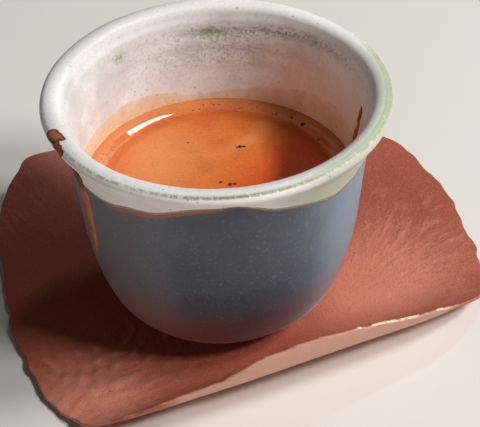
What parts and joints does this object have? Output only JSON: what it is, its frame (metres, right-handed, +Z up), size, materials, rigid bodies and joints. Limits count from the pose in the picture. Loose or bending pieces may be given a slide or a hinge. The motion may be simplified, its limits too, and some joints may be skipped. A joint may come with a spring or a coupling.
{
  "type": "espresso",
  "caption": "Espresso with orange-brown crema in a handleless blue-grey thrown cup with a white flared lip, on a thin terracotta saucer that curls up at front and back.",
  "frame": {"origin": "on the table, under the middle of the cup's base, on the saucer's flat underside", "axes": "+Z up along the cup's axis; the viewer's side is -Y; the saucer's raised front edge runs from -X -Y to +X, 23.5 degrees from the X axis"},
  "size_m": [0.1129, 0.1083, 0.0585],
  "materials": {
    "stoneware": "satin blue-grey glaze outside, white glaze on the lip and inside",
    "crema": "wet orange-brown crema",
    "terracotta": "unglazed satin clay with wrinkles"
  },
  "bodies": {
    "root": {"saucer": "terracotta", "cup": "stoneware", "espresso": "crema"}
  },
  "joints": []
}
